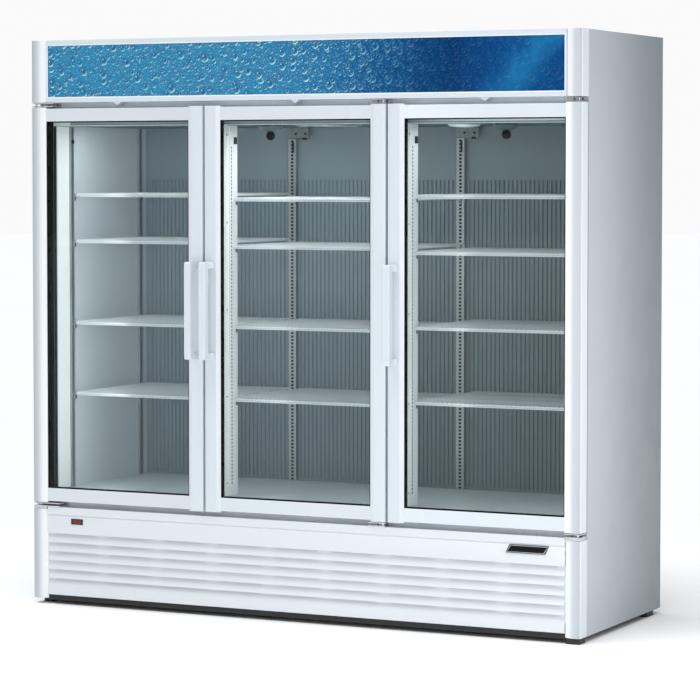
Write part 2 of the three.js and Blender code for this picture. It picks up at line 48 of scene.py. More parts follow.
# Places that several pieces share, read from the CAD model
LINER_LOW, LINER_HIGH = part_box("inner_liner")
LINER_SHEET = 0.0008
INSIDE = (LINER_LOW.x + LINER_SHEET, LINER_HIGH.x - LINER_SHEET)
FLOOR = LINER_LOW.z + LINER_SHEET
CEILING = LINER_HIGH.z - LINER_SHEET
CEILING_FACE = CEILING - 0.0016  # the underside of the sheet that covers it
REAR = LINER_HIGH.y - LINER_SHEET
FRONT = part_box("door_frame_2")[0].y
MULLION_X = (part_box("mullion_right")[0].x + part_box("mullion_right")[1].x) / 2
REAR_PILASTERS = (-MULLION_X - 0.012, MULLION_X - 0.036)  # across the rear wall
PILASTERS = (FRONT + 0.1715, FRONT + 0.655)  # along the side walls
SLOT_PITCH = 0.0127
UP, DOWN, TO_FRONT, TO_BACK = (0, 0, 1), (0, 0, -1), (0, -1, 0), (0, 1, 0)
SECTIONS = (1, 2, 3)
LEVELS = (1, 2, 3, 4)
SOFT_BELOW = math.radians(32)  # edges flatter than this are shaded smooth and get no bevel


def linear(red, green, blue):
    """A display colour, 0 to 255, as the linear RGBA that shaders take."""
    def one(value):
        value /= 255
        return value / 12.92 if value <= 0.04045 else ((value + 0.055) / 1.055) ** 2.4
    return (one(red), one(green), one(blue), 1.0)


# ---------------------------------------------------------------- materials

class Look:
    """A Principled material with short calls for the nodes that give it detail."""

    def __init__(self, name, colour, roughness, metallic=0.0):
        self.material = bpy.data.materials.new(name)
        self.material.use_nodes = True
        self.tree = self.material.node_tree
        self.shader = self.tree.nodes["Principled BSDF"]
        self.set(self.shader, {"Base Color": colour, "Roughness": roughness, "Metallic": metallic})
        self.place = self.add("ShaderNodeTexCoord").outputs["Object"]

    def set(self, node, values):
        for socket, value in values.items():
            node.inputs[socket].default_value = value

    def add(self, kind, inputs=None, **properties):
        node = self.tree.nodes.new(kind)
        for key, value in properties.items():
            setattr(node, key, value)
        for socket, value in (inputs or {}).items():
            if isinstance(value, bpy.types.NodeSocket):
                self.tree.links.new(value, node.inputs[socket])
            else:
                node.inputs[socket].default_value = value
        return node

    def stretched(self, x, y, z):
        return self.add("ShaderNodeMapping", {"Vector": self.place, "Scale": (x, y, z)}).outputs[0]

    def noise(self, scale, detail=2.0, vector=None, rough=0.5):
        inputs = {"Vector": vector or self.place, "Scale": scale, "Detail": detail, "Roughness": rough}
        return self.add("ShaderNodeTexNoise", inputs).outputs[0]

    def math(self, operation, first, second=0.0, third=0.0):
        return self.add("ShaderNodeMath", {0: first, 1: second, 2: third}, operation=operation).outputs[0]

    def remap(self, value, low, high, to_low, to_high):
        inputs = {0: value, 1: low, 2: high, 3: to_low, 4: to_high}
        return self.add("ShaderNodeMapRange", inputs, interpolation_type="SMOOTHSTEP").outputs[0]

    def axes(self, vector=None):
        return self.add("ShaderNodeSeparateXYZ", {0: vector or self.place}).outputs

    def length(self, across, upward):
        squares = [self.math("POWER", value, 2) for value in (across, upward)]
        return self.math("SQRT", self.math("ADD", *squares))

    def ramp(self, value, stops):
        """Colours along a value: stops is (value, display colour) pairs in order."""
        start, end = stops[0][0], stops[-1][0]
        share = self.add("ShaderNodeMapRange", {0: value, 1: start, 2: end, 3: 0.0, 4: 1.0}).outputs[0]
        node = self.add("ShaderNodeValToRGB", {0: share})
        elements = node.color_ramp.elements
        for place, _ in stops[1:-1]:
            elements.new((place - start) / (end - start))
        for element, (_, colour) in zip(elements, stops):
            element.color = linear(*colour)
        return node.outputs[0]

    def mix(self, share, first, second, blend="MIX"):
        node = self.add("ShaderNodeMix", data_type="RGBA", blend_type=blend)
        for socket, value in ((0, share), (6, first), (7, second)):
            if isinstance(value, bpy.types.NodeSocket):
                self.tree.links.new(value, node.inputs[socket])
            else:
                node.inputs[socket].default_value = value
        return node.outputs[2]

    def colour(self, socket):
        self.tree.links.new(socket, self.shader.inputs["Base Color"])

    def roughness(self, socket):
        self.tree.links.new(socket, self.shader.inputs["Roughness"])

    def bump(self, height, distance, strength=1.0):
        inputs = {"Height": height, "Distance": distance, "Strength": strength}
        self.tree.links.new(self.add("ShaderNodeBump", inputs).outputs[0], self.shader.inputs["Normal"])


def shade(colour, factor):
    return tuple(c * factor for c in colour[:3]) + (1.0,)


def painted(name, colour, roughness, dust=0.97, painted_light_ramp=None):
    """Powder coat: a fine orange-peel skin, and slow changes of tone and gloss.
    The last argument is (axis, from, to, colour): painted shade or painted light that blends the paint to
    that colour along the axis."""
    look = Look(name, colour, roughness)
    cloud = look.noise(1.6, 4)
    tone = look.mix(look.remap(cloud, 0.2, 0.8, 0, 1), shade(colour, dust), colour)
    if painted_light_ramp:
        # Painted shade or painted light: the paint blends towards another colour along one axis.
        axis, start, end, painted_light_colour = painted_light_ramp
        tone = look.mix(look.remap(look.axes()[axis], start, end, 0, 1), tone, painted_light_colour)
    look.colour(tone)
    look.roughness(look.remap(look.noise(9, 3), 0.3, 0.7, roughness - 0.04, roughness + 0.05))
    look.bump(look.noise(620, 2), 0.00025, 0.5)
    return look.material


def extruded(name, colour, roughness, corners=()):
    """Drawn plastic: faint die lines that run up the profile, under a clear gloss.
    corners is (distance from the middle, colour) pairs: painted shade and painted highlight round the outer
    profiles."""
    look = Look(name, colour, roughness)
    lines = look.noise(520, 2, look.stretched(1, 1, 0.004))
    tone = look.mix(look.remap(look.noise(1.1, 4), 0.2, 0.8, 0, 1), shade(colour, 0.97), colour)
    gloss = 0.0
    # Painted shade and painted highlight on the outer profiles, laid on by distance from the middle.
    if corners:
        away = look.math("ABSOLUTE", look.axes()[0])
        outer = look.math("GREATER_THAN", away, corners[0][0])
        tone = look.mix(outer, tone, look.ramp(away, corners))
        gloss = look.math("MULTIPLY", outer, 0.3)
    look.colour(tone)
    worn = look.remap(look.noise(4, 2), 0.2, 0.8, roughness - 0.015, roughness + 0.02)
    look.roughness(look.math("ADD", worn, gloss))
    look.bump(lines, 0.00012, 0.25)
    look.set(look.shader, {"Coat Weight": 0.15, "Coat Roughness": 0.08})
    return look.material


def rolled_steel(name, colour, roughness, grain, metallic=0.8):
    """Bare sheet: rolling lines along grain, and a few dull patches."""
    look = Look(name, colour, roughness, metallic)
    lines = look.noise(900, 3, look.stretched(*grain))
    patch = look.noise(5, 4)
    look.colour(look.mix(look.remap(patch, 0.35, 0.7, 0, 1), shade(colour, 0.86), colour))
    look.roughness(look.remap(lines, 0.25, 0.75, roughness - 0.08, roughness + 0.12))
    look.bump(lines, 0.0001, 0.4)
    return look.material


def plated(name, colour, roughness, metallic=1.0):
    """Bright plating with light handling marks."""
    look = Look(name, colour, roughness, metallic)
    marks = look.noise(60, 6, rough=0.65)
    look.colour(look.mix(look.remap(marks, 0.4, 0.75, 0, 1), colour, shade(colour, 0.8)))
    look.roughness(look.remap(marks, 0.35, 0.75, roughness, roughness + 0.18))
    look.bump(look.noise(260, 3), 0.0001, 0.4)
    return look.material


def moulded(name, colour, roughness, grain=0.0005, specular=0.4):
    """Moulded plastic or rubber with a fine spark-eroded grain."""
    look = Look(name, colour, roughness)
    fine = look.noise(1100, 3)
    look.colour(look.mix(look.remap(fine, 0.3, 0.7, 0, 1), shade(colour, 0.82), shade(colour, 1.15)))
    look.roughness(look.remap(look.noise(24, 3), 0.3, 0.7, roughness - 0.06, roughness + 0.08))
    look.bump(fine, grain, 0.6)
    look.set(look.shader, {"Specular IOR Level": specular})
    return look.material


def clear_glass():
    """A pane seen through directly, with the sky's reflection and faint cleaning marks over it."""
    look = Look("clear_glass", (0.9, 0.95, 0.94, 1), 0.03)
    through = look.add("ShaderNodeBsdfTransparent", {"Color": (0.975, 0.99, 0.987, 1)}).outputs[0]
    film = look.remap(look.noise(14, 5, look.stretched(1, 1, 0.35)), 0.4, 0.8, 0.01, 0.07)
    mirror = look.add("ShaderNodeBsdfGlossy", {"Color": (1, 1, 1, 1), "Roughness": film}).outputs[0]
    facing = look.add("ShaderNodeLayerWeight", {"Blend": 0.5}).outputs["Facing"]
    share = look.math("MULTIPLY_ADD", look.math("POWER", facing, 5.0), 0.55, 0.006)
    mixed = look.add("ShaderNodeMixShader", {0: share, 1: through, 2: mirror}).outputs[0]
    output = look.tree.nodes["Material Output"]
    look.tree.links.new(mixed, output.inputs["Surface"])
    look.tree.nodes.remove(look.shader)
    return look.material


def diffuser(name, strength):
    """A lamp's milky cover, lit from inside a little unevenly."""
    look = Look(name, linear(244, 247, 250), 0.3)
    glow = look.remap(look.noise(3, 2), 0.3, 0.7, strength * 0.9, strength * 1.1)
    look.set(look.shader, {"Emission Color": (0.93, 0.97, 1.0, 1)})
    look.tree.links.new(glow, look.shader.inputs["Emission Strength"])
    look.bump(look.noise(240, 2), 0.0002, 0.3)
    return look.material


def drops(look, flat, scale, offset):
    """One size of water drop on the print: (how much pale rim, how much dark outline) at each point."""
    vector = look.add("ShaderNodeVectorMath", {0: flat, 1: offset}, operation="ADD").outputs[0]
    cells = look.add("ShaderNodeTexVoronoi", {"Vector": vector, "Scale": scale, "Randomness": 0.95})
    away = look.add("ShaderNodeVectorMath", {0: vector, 1: cells.outputs["Position"]}, operation="SUBTRACT")
    parts = look.axes(away.outputs[0])
    chance = look.add("ShaderNodeSeparateColor", {0: cells.outputs["Color"]})
    size = look.math("MULTIPLY_ADD", chance.outputs[0], 0.24, 0.12)
    across = look.math("DIVIDE", look.math("MULTIPLY", parts[0], scale), size)
    upward = look.math("DIVIDE", look.math("MULTIPLY", parts[1], scale * 0.92), size)
    reach = look.length(across, upward)
    inside = look.remap(reach, 1.0, 0.9, 0, 1)
    rim = look.remap(reach, 0.5, 0.82, 0, 1)
    slant = look.math("MULTIPLY_ADD", across, 0.45, look.math("MULTIPLY", upward, -0.85))
    lower = look.remap(slant, 0.1, 0.9, 0.12, 1)
    glint_reach = look.length(look.math("ADD", across, 0.32), look.math("ADD", upward, -0.42))
    glint = look.remap(glint_reach, 0.24, 0.1, 0, 0.8)
    lit = look.math("MAXIMUM", look.math("MULTIPLY", rim, lower), glint)
    pale = look.math("MULTIPLY", inside, lit)
    upper = look.remap(upward, -0.7, 0.5, 0.25, 1)
    outline = look.remap(reach, 1.25, 1.0, 0, 1)
    dark = look.math("MULTIPLY", outline, upper)
    return pale, dark


def printed_sign():
    """The header's print: wet pale blue that deepens to navy on the right, with a soft shaft of light."""
    look = Look("printed_sign", linear(60, 130, 168), 0.22)
    look.set(look.shader, {"Specular IOR Level": 0.08})
    x, _, z = look.axes()
    flat = look.add("ShaderNodeCombineXYZ", {0: x, 1: z}).outputs[0]
    wave = look.noise(3.2, 2, flat)
    shifted = look.math("ADD", look.math("MULTIPLY_ADD", wave, 0.16, -0.08), x)
    stops = (
        (-1.0, (50, 142, 184)), (-0.2, (52, 138, 180)), (0.08, (42, 120, 166)), (0.22, (28, 98, 148)),
        (0.33, (15, 82, 132)), (0.45, (7, 64, 114)), (0.58, (5, 54, 104)), (0.78, (6, 74, 132)),
        (1.0, (6, 66, 124)),
    )
    field = look.ramp(shifted, stops)
    slant = look.math("MULTIPLY_ADD", z, -0.9, x)
    shaft = look.remap(look.math("ABSOLUTE", look.math("ADD", slant, 0.86)), 0.12, 0.0, 0, 0.65)
    ragged = look.noise(7, 4, look.add("ShaderNodeMapping", {
        "Vector": flat, "Scale": (1, 0.25, 1), "Rotation": (0, 0, 0.73)}).outputs[0])
    shaft = look.math("MULTIPLY", shaft, look.remap(ragged, 0.3, 0.75, 0.1, 1))
    field = look.mix(shaft, field, linear(44, 150, 205))
    grain = look.noise(26, 6, flat, 0.7)
    field = look.mix(look.remap(grain, 0.35, 0.7, 0, 0.25), field, linear(40, 110, 160), "MULTIPLY")
    wet = look.remap(shifted, 0.5, 0.05, 0.06, 1)
    for scale, offset in ((88, (3.1, 5.3, 0)), (40, (1.7, 2.2, 0)), (23, (0.3, 0.1, 0))):
        pale, dark = drops(look, flat, scale, offset)
        for amount, most, colour in ((dark, 0.8, linear(16, 92, 142)), (pale, 0.95, linear(176, 230, 232))):
            share = look.math("MULTIPLY", look.math("MULTIPLY", amount, wet), most)
            field = look.mix(share, field, colour)
    look.colour(field)
    look.roughness(look.remap(look.noise(40, 3), 0.3, 0.7, 0.16, 0.28))
    look.bump(look.noise(90, 2), 0.00015, 0.4)
    return look.material


def foam_look():
    look = Look("foam", linear(222, 203, 150), 0.9)
    cells = look.add("ShaderNodeTexVoronoi", {"Vector": look.place, "Scale": 420}).outputs["Distance"]
    look.colour(look.mix(look.remap(cells, 0.1, 0.7, 0, 1), linear(196, 172, 112), linear(228, 210, 160)))
    look.bump(cells, 0.0006, 0.8)
    return look.material


def finned(name, colour):
    """Thin aluminium with the tool's ripple and a little bloom."""
    look = Look(name, colour, 0.38, 0.9)
    ripple = look.noise(300, 2, look.stretched(1, 0.2, 0.05))
    look.colour(look.mix(look.remap(look.noise(12, 4), 0.35, 0.7, 0, 1), shade(colour, 0.8), colour))
    look.roughness(look.remap(ripple, 0.3, 0.7, 0.3, 0.5))
    look.bump(ripple, 0.0002, 0.5)
    return look.material


WHITE_PAINT = painted("white_paint", linear(221, 227, 232), 0.38)
# Side panels: a painted shade darkens the grey from the front edge towards the rear.
SIDE_PAINT = painted("side_paint", linear(180, 188, 195), 0.42, painted_light_ramp=(1, -0.3, 0.45, linear(132, 142, 147)))
LINER_PAINT = painted("liner_paint", linear(206, 214, 219), 0.4)
# Rear wall: grey paint, with a painted shade that darkens it towards the right.
REAR_PAINT = painted("rear_paint", linear(144, 158, 166), 0.45, painted_light_ramp=(0, -1.0, 1.05, linear(114, 126, 131)))
BLACK_PAINT = painted("black_paint", linear(28, 30, 34), 0.5, 0.85)
# Painted highlight and painted shade across the corner posts and the doors' outer stiles, by distance from
# the middle; both ends get the same tones, mirrored.
CORNER_PAINTED_SHADING = (
    (0.9825, (243, 246, 248)), (1.0, (236, 240, 243)), (1.016, (196, 203, 209)), (1.034, (178, 186, 193)),
    (1.0372, (180, 188, 195)), (1.0378, (214, 220, 225)), (1.05, (214, 220, 225)),
)
WHITE_PLASTIC = extruded("white_plastic", linear(215, 223, 229), 0.26, CORNER_PAINTED_SHADING)
TRIM_PLASTIC = extruded("trim_plastic", linear(240, 243, 245), 0.3)
GREY_STEEL = rolled_steel("grey_steel", linear(240, 248, 253), 0.42, (0.02, 1, 1), 0.05)
PILASTER = rolled_steel("pilaster_steel", linear(196, 203, 206), 0.42, (1, 1, 0.02))
CHROME = plated("chrome", linear(205, 209, 212), 0.12)
HEADER_PAINT = painted("header_paint", linear(212, 222, 230), 0.38)
BACK_PAINT = painted("back_paint", linear(196, 202, 208), 0.42)
# Ceiling: a dark grey that is painted shade.
CEILING_PAINTED_SHADE = moulded("ceiling_painted_shade", linear(112, 125, 132), 0.6, 0.0003, 0.0)
# Face trim strip: a painted light that grows towards the right on its upper band, and a painted shade on its
# lower band.
LIP_PAINTED_LIGHT = painted("lip_painted_light", linear(148, 161, 168), 0.5, painted_light_ramp=(0, 0.36, 0.72, linear(232, 240, 244)))
LIP_PAINTED_SHADE = painted("lip_painted_shade", linear(128, 141, 147), 0.5)
HINGE_PLATING = plated("hinge_plating", linear(206, 210, 215), 0.34, 0.4)
BADGE_SILVER = plated("badge_silver", linear(176, 180, 184), 0.35, 0.5)
# Hinge screws: a dark grey that is painted shade for their recesses.
SCREW_PAINTED_SHADE = plated("screw_painted_shade", linear(84, 88, 93), 0.4)
LAMP_COVER = diffuser("lamp_cover", 0.1)
DISH = plated("dish_plating", linear(150, 158, 162), 0.3)
# The dishes under the ceiling take a darker copy of the dish plating: painted shade.
DISH_SHADE = plated("dish_shade", linear(92, 104, 110), 0.3, 0.4)
BLACK_PLASTIC = moulded("black_plastic", linear(38, 41, 45), 0.5)
BREAKER = moulded("breaker_black", linear(17, 20, 23), 0.45, 0.0003, 0.15)
CERAMIC = moulded("ceramic_black", linear(14, 16, 18), 0.3, 0.00005, 0.12)
RUBBER = moulded("gasket_rubber", linear(104, 113, 120), 0.7, 0.0004)
GLASS = clear_glass()
DIFFUSER = diffuser("lamp_diffuser", 0.7)
SIGN = printed_sign()
WIRE = painted("coated_wire", linear(232, 236, 240), 0.32)
ALUMINIUM = finned("fin_aluminium", linear(184, 188, 192))
COMPRESSOR = painted("compressor_black", linear(30, 31, 34), 0.4, 0.8)
FOAM = foam_look()
RED = moulded("display_red", linear(122, 34, 38), 0.25, 0.00005)


# ---------------------------------------------------------------- mesh helpers

def box(mesh, low, high):
    """Adds a box between two corners."""
    corners = [mesh.verts.new((x, y, z)) for z in (low[2], high[2]) for y in (low[1], high[1])
               for x in (low[0], high[0])]
    for face in ((0, 2, 3, 1), (4, 5, 7, 6), (0, 1, 5, 4), (2, 6, 7, 3), (0, 4, 6, 2), (1, 3, 7, 5)):
        mesh.faces.new([corners[i] for i in face])


def slab(mesh, near, far):
    """Adds a solid between two matching outlines."""
    near = [mesh.verts.new(point) for point in near]
    far = [mesh.verts.new(point) for point in far]
    mesh.faces.new(near)
    mesh.faces.new(list(reversed(far)))
    for i in range(len(near)):
        after = (i + 1) % len(near)
        mesh.faces.new((near[i], near[after], far[after], far[i]))


def rod(mesh, points, radius, sides=8):
    """Adds a round bar through points, mitred where it bends, with flat ends."""
    points = [Vector(p) for p in points]
    rings = []
    reference = None
    for i, point in enumerate(points):
        before = (point - points[i - 1]).normalized() if i > 0 else None
        after = (points[i + 1] - point).normalized() if i < len(points) - 1 else None
        along = ((before or after) + (after or before)).normalized()
        if reference is None:
            pick = Vector(UP) if abs(along.z) < 0.9 else Vector((1, 0, 0))
            reference = along.cross(pick).normalized()
        across = (reference - along * reference.dot(along)).normalized()
        other = along.cross(across)
        widen = 1 / max(0.5, along.dot(before or after))
        ring = []
        for k in range(sides):
            turn = 2 * math.pi * k / sides
            outward = across * math.cos(turn) + other * math.sin(turn) * widen
            ring.append(mesh.verts.new(point + radius * outward))
        rings.append(ring)
        reference = across
    for one, two in zip(rings, rings[1:]):
        for k in range(sides):
            face = (one[k], one[(k + 1) % sides], two[(k + 1) % sides], two[k])
            mesh.faces.new(face)
    mesh.faces.new(list(reversed(rings[0])))
    mesh.faces.new(rings[-1])


def turned(mesh, profile, place, axis, sides=24):
    """Adds a turned solid: profile is (radius, distance along axis) pairs that start and end on the axis."""
    axis = Vector(axis).normalized()
    pick = Vector(UP) if abs(axis.z) < 0.9 else Vector((1, 0, 0))
    across = axis.cross(pick).normalized()
    other = axis.cross(across)
    place = Vector(place)
    rings = []
    for radius, along in profile:
        if radius < 1e-6:
            rings.append([mesh.verts.new(place + axis * along)])
            continue
        turns = (2 * math.pi * k / sides for k in range(sides))
        outward = (across * math.cos(turn) + other * math.sin(turn) for turn in turns)
        rings.append([mesh.verts.new(place + axis * along + radius * out) for out in outward])
    for one, two in zip(rings, rings[1:]):
        for k in range(sides):
            after = (k + 1) % sides
            if len(one) == 1:
                mesh.faces.new((one[0], two[after], two[k]))
            elif len(two) == 1:
                mesh.faces.new((one[k], one[after], two[0]))
            else:
                mesh.faces.new((one[k], one[after], two[after], two[k]))


def screw(mesh, place, axis, radius=0.0042):
    """Adds a pan head with a round recess, standing on its surface."""
    high = radius * 0.55
    profile = ((0, 0), (radius, 0), (radius, high * 0.35), (radius * 0.8, high * 0.8),
               (radius * 0.42, high), (radius * 0.3, high * 0.55), (0, high * 0.4))
    turned(mesh, profile, place, axis, 14)


def framed(mesh, section, low, high):
    """Adds a mitred rectangular frame facing -Y: section is (inset, y) pairs round its closed outline."""
    corners = ((low[0], low[1], 1, 1), (high[0], low[1], -1, 1),
               (high[0], high[1], -1, -1), (low[0], high[1], 1, -1))
    rings = []
    for x, z, to_x, to_z in corners:
        rings.append([mesh.verts.new((x + to_x * inset, y, z + to_z * inset)) for inset, y in section])
    for i in range(4):
        one, two = rings[i], rings[(i + 1) % 4]
        for k in range(len(section)):
            after = (k + 1) % len(section)
            mesh.faces.new((one[k], two[k], two[after], one[after]))


def drawn(mesh, outline, low, high):
    """Adds an upright prism of an outline of (x, y) pairs."""
    bottom = [mesh.verts.new((x, y, low)) for x, y in outline]
    top = [mesh.verts.new((x, y, high)) for x, y in outline]
    mesh.faces.new(list(reversed(bottom)))
    mesh.faces.new(top)
    for i in range(len(outline)):
        after = (i + 1) % len(outline)
        mesh.faces.new((bottom[i], bottom[after], top[after], top[i]))


def piece(name, mesh, material, body=CABINET, replaces=(), bevel=0.0, segments=2, smooth=True):
    """Finishes a mesh as a piece that rides on a body."""
    bmesh.ops.recalc_face_normals(mesh, faces=mesh.faces)
    data = bpy.data.meshes.new(name)
    mesh.to_mesh(data)
    mesh.free()
    obj = bpy.data.objects.new(name, data)
    SCENE.collection.objects.link(obj)
    return finish_piece(obj, material, body, replaces, bevel, segments, smooth)


def finish_piece(obj, material, body, replaces, bevel, segments, smooth):
    obj.data.materials.clear()
    obj.data.materials.append(material)
    if smooth:
        for face in obj.data.polygons:
            face.use_smooth = True
        obj.data.set_sharp_from_angle(angle=SOFT_BELOW)
    if bevel:
        edge = obj.modifiers.new("edges", "BEVEL")
        edge.width = bevel
        edge.segments = segments
        edge.limit_method = "ANGLE"
        edge.angle_limit = SOFT_BELOW
        edge.harden_normals = True
        edge.use_clamp_overlap = True
    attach(obj, body)
    if replaces:
        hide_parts(*replaces)
    return obj


def softened(node, material, body=CABINET, bevel=0.0008, segments=2):
    """A CAD node's own shape with its edges rounded, standing for that node."""
    mesh = bmesh.new()
    mesh.from_mesh(NODES[node].data)
    bmesh.ops.remove_doubles(mesh, verts=mesh.verts, dist=1e-5)
    bmesh.ops.dissolve_limit(mesh, angle_limit=math.radians(0.5), verts=mesh.verts, edges=mesh.edges)
    return piece(f"{node}_soft", mesh, material, body, (node,), bevel, segments)


def dress(node, material):
    """A CAD node that stays as it is takes a material."""
    slots = NODES[node].data.materials
    slots.clear()
    slots.append(material)


def spread(low, high, count):
    return [low + (high - low) * i / (count - 1) for i in range(count)]


# ---------------------------------------------------------------- outside

def outer_shell():
    for side in ("left", "right"):
        softened(f"side_panel_{side}", SIDE_PAINT, bevel=0.0004, segments=1)
        softened(f"header_post_{side}", WHITE_PLASTIC, bevel=0.0012)
        softened(f"lower_post_{side}", WHITE_PLASTIC, bevel=0.0012)
        for row in ("front", "rear"):
            softened(f"foot_{row}_{side}", BLACK_PLASTIC, bevel=0.0015)
    dress("roof_back_panel", BACK_PAINT)
    dress("face_frame", GREY_STEEL)
    dress("foam_insulation", FOAM)
    softened("base_pan", BLACK_PAINT, bevel=0.0008)


def back_details():
    """Screws round the rear sheet, and a bush in the cord's hole."""
    low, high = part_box("roof_back_panel")
    mesh = bmesh.new()
    margin, inset = 0.02, 0.012
    for z in spread(low.z + margin, high.z - margin, 9):
        for x in (low.x + margin + inset, high.x - margin - inset):
            screw(mesh, (x, high.y, z), TO_BACK)
    for x in spread(low.x + 0.2, high.x - 0.2, 7):
        for z in (low.z + 0.016, high.z - 0.016):
            screw(mesh, (x, high.y, z), TO_BACK)
    piece("back_screws", mesh, CHROME)
    mesh = bmesh.new()
    hole_x, hole_z = 0.93, 0.1
    bush = ((0.0062, -0.004), (0.0098, -0.004), (0.0098, 0), (0.0135, 0), (0.0135, 0.0022), (0.0062, 0.003),
            (0.0062, -0.004))
    turned(mesh, bush, (hole_x, high.y, hole_z), TO_BACK, 28)
    piece("cord_bush", mesh, BLACK_PLASTIC, bevel=0.0003)


def header():
    softened("header_housing", HEADER_PAINT, bevel=0.001)
    dress("sign_panel", SIGN)
    dress("sign_lamp", DIFFUSER)
    low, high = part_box("sign_panel")
    mesh = bmesh.new()
    front = low.y - 0.0012
    lip = ((-0.0003, front), (0.003, front), (0.004, low.y - 0.0001), (-0.0003, low.y - 0.0001))
    framed(mesh, lip, (low.x, low.z), (high.x, high.z))
    piece("sign_bead", mesh, TRIM_PLASTIC)


def door_stops():
    """A small wedge under the header over the middle of each door."""
    mesh = bmesh.new()
    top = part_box("header_housing")[0].z - 0.0002
    half, drop = 0.017, 0.0105
    for number in SECTIONS:
        low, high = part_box(f"door_frame_{number}")
        middle = (low.x + high.x) / 2
        outline = ((-half, top), (-half * 0.35, top - drop * 0.72), (-half * 0.12, top - drop),
                   (half * 0.12, top - drop), (half * 0.35, top - drop * 0.72), (half, top))
        slab(mesh, *[[(middle + x, y, z) for x, z in outline] for y in (FRONT + 0.012, FRONT + 0.05)])
    piece("door_stops", mesh, WHITE_PLASTIC, bevel=0.0008)


def lower_panel():
    softened("front_grille", WHITE_PAINT, bevel=0.0007, segments=2)
    softened("display_module", BLACK_PLASTIC, bevel=0.0008)
    low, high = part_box("display_module")
    face = low.y
    mesh = bmesh.new()
    side, level = 0.007, 0.0045
    box(mesh, (low.x + side, face - 0.0006, low.z + level), (high.x - side, face + 0.001, high.z - level))
    piece("display_window", mesh, RED, bevel=0.0004)
    badge()


def badge():
    """A plain slanted plate with a bright line round it; it carries no mark."""
    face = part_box("front_grille")[0].y
    low_x, high_x, low_z, high_z = 0.776, 0.929, 0.2865, 0.3145
    slant = 0.014

    def plate(name, inset, front, back, material):
        side = inset * 1.3
        outline = ((low_x + side, low_z + inset), (high_x - slant - side, low_z + inset),
                   (high_x - side, high_z - inset), (low_x + slant + side, high_z - inset))
        mesh = bmesh.new()
        slab(mesh, *[[(x, face - out, z) for x, z in outline] for out in (front, back)])
        piece(name, mesh, material, bevel=0.0003)

    plate("badge_base", 0, 0.0026, 0.0001, CERAMIC)
    plate("badge_line", 0.002, 0.0030, 0.0023, BADGE_SILVER)
    plate("badge_plate", 0.0042, 0.0034, 0.0027, CERAMIC)


def hinge_brackets():
    """Plated brackets, with their fixing screws on the rear flange."""
    for level in ("top", "bottom"):
        for side in ("left", "centre", "right"):
            finish = HINGE_PLATING if side == "left" else CHROME
            softened(f"hinge_{level}_{side}", finish, bevel=0.0007)
    mesh = bmesh.new()
    flange = FRONT + 0.058
    left_screws = {"top": (-1.028, -1.001, -0.966), "bottom": (-1.02, -0.968, -0.943)}
    under_doors = 0.3525
    gap_middle = {"top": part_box("hinge_top_left")[1].z - 0.0068, "bottom": under_doors}
    for level, z in gap_middle.items():
        places = list(left_screws[level])
        for side in ("centre", "right"):
            low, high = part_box(f"hinge_{level}_{side}")
            places += [low.x + (high.x - low.x) * share for share in (0.2, 0.45, 0.7)]
        for x in places:
            screw(mesh, (x, flange, z), TO_FRONT, 0.0032)
    piece("hinge_screws", mesh, SCREW_PAINTED_SHADE)


# ---------------------------------------------------------------- doors

def door(number):
    body = f"door_{number}"
    softened(f"door_frame_{number}", WHITE_PLASTIC, body, bevel=0.001)
    softened(f"door_handle_{number}", WHITE_PLASTIC, body, bevel=0.0034, segments=4)
    glazing(number, body)
    gasket(number, body)


def glazing(number, body):
    """Two clear panes on a black spacer, with a black printed edge and a bead of sealant behind."""
    low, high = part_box(f"door_glass_{number}")
    pane, edge, film = 0.004, 0.014, 0.0001
    name = f"door_{number}"
    across, upward = (low.x, low.z), (high.x, high.z)
    mesh = bmesh.new()
    for y in (low.y, high.y - pane):
        box(mesh, (low.x, y, low.z), (high.x, y + pane, high.z))
    piece(f"{name}_panes", mesh, GLASS, body, (f"door_glass_{number}",), smooth=False)
    mesh = bmesh.new()
    inner, outer = low.y + pane + 2 * film, high.y - pane - 2 * film
    framed(mesh, ((0.002, inner), (edge, inner), (edge, outer), (0.002, outer)), across, upward)
    for y in (low.y - 2 * film, high.y + film):
        framed(mesh, ((0.0, y), (edge, y), (edge, y + film), (0.0, y + film)), across, upward)
    piece(f"{name}_glass_edge", mesh, CERAMIC, body, smooth=False)
    mesh = bmesh.new()
    back = high.y + 3 * film
    bead = ((0.003, back), (0.001, back + 0.0035), (-0.0035, back + 0.006), (-0.0076, back + 0.006),
            (-0.0076, back))
    framed(mesh, bead, across, upward)
    piece(f"{name}_sealant", mesh, BREAKER, body)


def gasket(number, body):
    """A bellows seal with two folds and a flat magnetic face."""
    low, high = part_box(f"door_gasket_{number}")
    wide, deep = 0.016, high.y - low.y
    outline = ((0.0, 0.0), (0.0, 0.18), (0.0016, 0.36), (0.0, 0.55), (0.001, 1.0),
               (wide - 0.001, 1.0), (wide, 0.55), (wide - 0.0016, 0.36), (wide, 0.18), (wide, 0.0))
    section = [(inset, low.y + share * deep) for inset, share in outline]
    mesh = bmesh.new()
    framed(mesh, section, (low.x, low.z), (high.x, high.z))
    piece(f"door_{number}_seal", mesh, RUBBER, body, (f"door_gasket_{number}",))


# ---------------------------------------------------------------- inside

